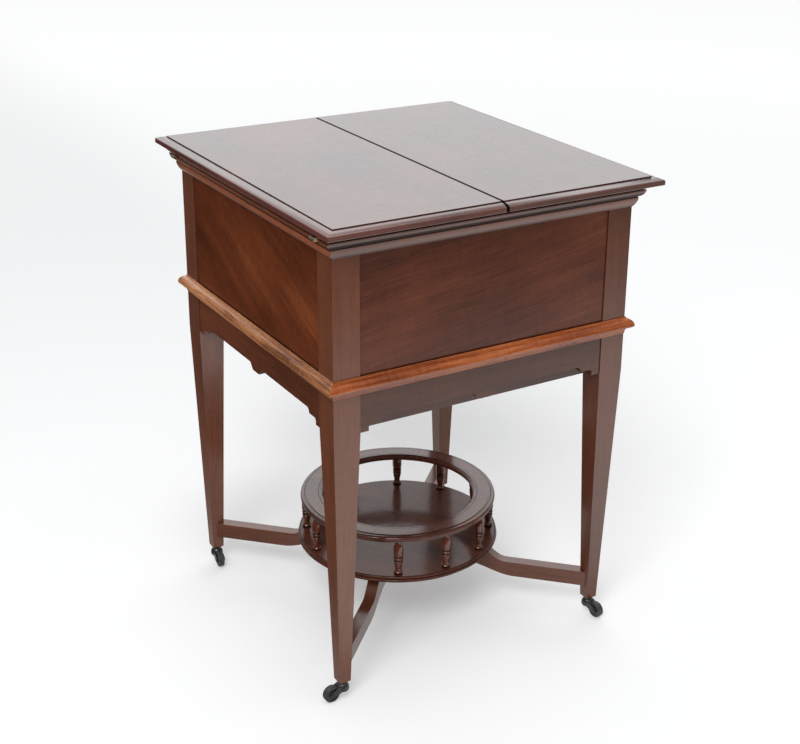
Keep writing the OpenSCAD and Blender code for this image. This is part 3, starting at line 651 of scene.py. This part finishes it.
def round_lines(*radii):
    """Painted shade: dark rings of the given radii on upward faces, round the middle of the table."""

    def mask(tree, place):
        x, y, _ = split(tree, place)
        flat = add(tree, "CombineXYZ", {0: x, 1: y}).outputs[0]
        reach = measure(tree, "LENGTH", flat)
        rings = [near(tree, reach, radius, 0.8 * MM) for radius in radii]
        normal = add(tree, "TexCoord").outputs["Normal"]
        upward = ramp(tree, split(tree, normal)[2], 0.2, 0.5)
        return times(tree, most(tree, *rings), upward, GROOVE_DEPTH)

    return mask


# ---------------------------------------------------------------- dressing the CAD nodes

SIDES = ("front", "right", "back", "left")
CORNERS = ("front_left", "front_right", "back_left", "back_right")
# How steeply the grain of each side panel rises, in degrees
PANEL_LEAN = {"front": 10, "right": 24, "back": 8, "left": 24}
DISC_GRAIN = Vector((0.55, -0.83, 0))
# Edges that turn more than this, in degrees, stay sharp, and those past the next are rounded
SHARP_ANGLE = 31
ROUNDED_ANGLE = 35


def along_side(side):
    return X_AXIS if side in ("front", "back") else Y_AXIS


def leaning(side, degrees):
    """Direction in the face of a side panel, that many degrees above the level."""
    lean = math.radians(degrees)
    return along_side(side) * math.cos(lean) + Z_AXIS * math.sin(lean)


def make_smoother():
    """Geometry nodes that shade a mesh smooth, with edges sharper than the angle kept sharp."""
    group = bpy.data.node_groups.new("smooth_shading", "GeometryNodeTree")
    group.interface.new_socket("Geometry", in_out="INPUT", socket_type="NodeSocketGeometry")
    group.interface.new_socket("Geometry", in_out="OUTPUT", socket_type="NodeSocketGeometry")

    def place(kind, **settings):
        node = group.nodes.new(kind)
        for key, value in settings.items():
            setattr(node, key, value)
        return node

    give = place("NodeGroupInput")
    take = place("NodeGroupOutput")
    drop = place("GeometryNodeRemoveAttribute")
    drop.inputs["Name"].default_value = "custom_normal"
    smooth = place("GeometryNodeSetShadeSmooth", domain="FACE")
    angle = place("GeometryNodeInputMeshEdgeAngle")
    keen = place("FunctionNodeCompare", data_type="FLOAT", operation="GREATER_THAN")
    keen.inputs[1].default_value = math.radians(SHARP_ANGLE)
    sharp = place("GeometryNodeSetShadeSmooth", domain="EDGE")
    sharp.inputs["Shade Smooth"].default_value = False
    links = group.links
    links.new(give.outputs[0], drop.inputs["Geometry"])
    links.new(drop.outputs["Geometry"], smooth.inputs["Geometry"])
    links.new(smooth.outputs["Geometry"], sharp.inputs["Geometry"])
    links.new(angle.outputs["Unsigned Angle"], keen.inputs[0])
    links.new(keen.outputs[0], sharp.inputs["Selection"])
    links.new(sharp.outputs["Geometry"], take.inputs[0])
    return group


smoother = make_smoother()


def dress(node, material, worn=None, arris=0.0):
    """Gives a CAD node its material. With an arris, its sharp edges are rounded, and rubbed lighter when
    a worn material is given.
    """
    piece = NODES[node]
    piece.data.materials.clear()
    piece.data.materials.append(material)
    weld = piece.modifiers.new("weld", "WELD")
    weld.merge_threshold = 0.002 * MM
    if arris:
        if worn:
            piece.data.materials.append(worn)
        round_off = piece.modifiers.new("arris", "BEVEL")
        round_off.width = arris
        round_off.segments = 2
        round_off.limit_method = "ANGLE"
        round_off.angle_limit = math.radians(ROUNDED_ANGLE)
        round_off.use_clamp_overlap = True
        round_off.material = 1 if worn else -1
    shade = piece.modifiers.new("smooth", "NODES")
    shade.node_group = smoother
    weighted = piece.modifiers.new("weighted", "WEIGHTED_NORMAL")
    weighted.keep_sharp = True
    weighted.weight = 80


def dress_rubbed(node, kind, run, arris, lines=None, painted_highlight=None):
    """Dresses a node in wood with its grain along the run and rubbed arrises."""
    worn = wood(node, kind, run, lines, worn=True)
    dress(node, wood(node, kind, run, lines, painted_highlight), worn, arris)


def dress_case():
    for corner in CORNERS:
        dress_rubbed("leg_" + corner, "legs", Z_AXIS, arris=0.7 * MM)
    for side in SIDES:
        run = along_side(side)
        dress("panel_" + side, wood("panel_" + side, "panel", leaning(side, PANEL_LEAN[side])))
        dress_rubbed("cornice_" + side, "moulding", run, 0.5 * MM, cornice_quirk_shade, cornice_ovolo_highlight)
        dress_rubbed("waist_moulding_" + side, "bright", run, arris=0.4 * MM)
        dress_rubbed("apron_" + side, "apron", run, arris=0.5 * MM)
    dress("bottom_board", wood("bottom_board", "apron", X_AXIS), arris=0.5 * MM)
    dress("guide_rails", wood("guide_rails", "interior", Z_AXIS), arris=0.4 * MM)


def dress_leaves():
    for leaf in ("left", "right"):
        board = leaf + "_leaf_board"
        dress(board, wood(board, "top", Y_AXIS, field_lines(leaf), leaf_edge_highlight))
        for place, run in (("side", Y_AXIS), ("front", X_AXIS), ("back", X_AXIS)):
            batten = f"{leaf}_leaf_{place}_batten"
            dress(batten, wood(batten, "moulding", run))


def dress_tray():
    runs = {"ends": X_AXIS, "sides": Y_AXIS, "bottom": X_AXIS, "dividers": Y_AXIS}
    for part, run in runs.items():
        name = "tray_" + part
        plain = wood(name, "interior", run)
        dress(name, plain, wood(name, "interior", run, worn=True), 0.6 * MM)


def dress_tier():
    dress_rubbed("stretcher_lower", "stretcher", X_AXIS + Y_AXIS, arris=0.8 * MM)
    dress_rubbed("stretcher_upper", "stretcher", X_AXIS - Y_AXIS, arris=0.8 * MM)
    disc_line = round_lines(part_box("tier_disc")[1].x - DISC_LINE_INSET)
    dress("tier_disc", wood("tier_disc", "disc", DISC_GRAIN, disc_line))
    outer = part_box("ring_segment_right")[1].x
    ring_lines = round_lines(outer - RING_OUTER_INSET, RING_INNER + RING_INNER_INSET)
    for side in SIDES:
        segment = "ring_segment_" + side
        dress(segment, wood(segment, "ring", along_side(side), ring_lines))
    dress("gallery_spindles", wood("gallery_spindles", "turned", Z_AXIS, turned_lines))


def dress_metal(metal, iron):
    dress("hinge_pins", metal)
    for part in ("case", "left_leaf", "right_leaf"):
        dress(part + "_hinge_plates", metal)
    composition = black_finish("composition", (0.05, 0.05, 0.049), (0.16, 0.155, 0.15), 0.45, 0.15)
    dress("caster_sockets", iron)
    for corner in CORNERS:
        dress("fork_" + corner, iron)
        dress("axle_" + corner, iron)
        dress("wheel_" + corner, composition)


# ---------------------------------------------------------------- hinge screws

# The hinge line's distance from the middle, and where the plates lie along it
HINGE_X = next(joint["pos_m"][0] for joint in frame["joints"] if joint["name"] == "right_leaf_hinge")
HINGE_Y = 229 * MM
# Levels of the faces of the hinge plates that lie against each other under the closed lid
CASE_TOP = 712.0 * MM
LEAF_UNDERSIDE = 712.2 * MM
SCREWS_FROM_HINGE = (11 * MM, 25 * MM)
SCREW_PROUD = 0.06 * MM
# Radius of the head's outline, and its depth below the head's face, from the face to the shank
SCREW_OUTLINE = ((2.4 * MM, 0.0), (2.55 * MM, 0.05 * MM), (2.55 * MM, 0.6 * MM))
SCREW_STEPS = 24
# The slot is a flat dark quad of painted shade: its half length and half width, and how far it stands
# proud
SLOT_HALF = (2.1 * MM, 0.35 * MM)
SLOT_PROUD = 0.01 * MM


def screw_head(vertices, faces, centre, up):
    """Adds a round head with a chamfered edge, whose face is at the centre and looks up."""
    rings = []
    for radius, depth in SCREW_OUTLINE:
        start = len(vertices)
        for step in range(SCREW_STEPS):
            angle = math.tau * step / SCREW_STEPS
            out = Vector((math.cos(angle), math.sin(angle), 0))
            vertices.append(centre + out * radius - up * depth)
        rings.append(range(start, start + SCREW_STEPS))
    faces.append((list(rings[0]), 0))
    for upper, lower in zip(rings, rings[1:]):
        for step in range(SCREW_STEPS):
            after = (step + 1) % SCREW_STEPS
            faces.append(([upper[step], lower[step], lower[after], upper[after]], 0))


def screw_slot(vertices, faces, centre, up, angle):
    """Adds the slot of a head, turned by the angle: a flat dark quad just proud of the face, painted
    shade for the slot's recess.
    """
    along = Vector((math.cos(angle), math.sin(angle), 0)) * SLOT_HALF[0]
    across = Vector((-math.sin(angle), math.cos(angle), 0)) * SLOT_HALF[1]
    start = len(vertices)
    for a, b in ((-1, -1), (1, -1), (1, 1), (-1, 1)):
        vertices.append(centre + along * a + across * b + up * SLOT_PROUD)
    faces.append(([start, start + 1, start + 2, start + 3], 1))


def make_screws(body, sides, level, facing, metal, dark):
    """Slotted screws of the hinge plates on one body: two in each plate, a hair proud of it.

    Their heads are at the level and face up (1) or down (-1). The slots point at odd angles.
    """
    turn = random.Random(len(body))
    up = Z_AXIS * facing
    vertices, faces = [], []
    for side in sides:
        for end in (-1, 1):
            for reach in SCREWS_FROM_HINGE:
                centre = Vector((side * (HINGE_X - reach), end * HINGE_Y, level)) + up * SCREW_PROUD
                screw_head(vertices, faces, centre, up)
                screw_slot(vertices, faces, centre, up, turn.uniform(0, math.pi))
    outlines = [face if facing > 0 else face[::-1] for face, _ in faces]
    mesh = bpy.data.meshes.new("hinge_screws_" + body)
    mesh.from_pydata(vertices, [], outlines)
    for polygon, (_, kind) in zip(mesh.polygons, faces):
        polygon.material_index = kind
    mesh.materials.append(metal)
    # The slots' dark material: painted shade for their recess
    mesh.materials.append(dark)
    screws = bpy.data.objects.new("hinge_screws_" + body, mesh)
    bpy.context.scene.collection.objects.link(screws)
    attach(screws, body)


make_camera()
make_world()
make_floor()
for name, settings in LIGHTS.items():
    make_light(name, *settings)
dress_case()
dress_leaves()
dress_tray()
dress_tier()
aged_brass = brass()
japanned_iron = black_finish("japanned_iron", (0.014, 0.014, 0.015), (0.09, 0.085, 0.08), 0.3, 0.8)
dress_metal(aged_brass, japanned_iron)
make_screws("case", (-1, 1), CASE_TOP, 1, aged_brass, japanned_iron)
make_screws("left_leaf", (-1,), LEAF_UNDERSIDE, -1, aged_brass, japanned_iron)
make_screws("right_leaf", (1,), LEAF_UNDERSIDE, -1, aged_brass, japanned_iron)

view = bpy.context.scene.view_settings
view.view_transform = "Standard"
view.look = "None"
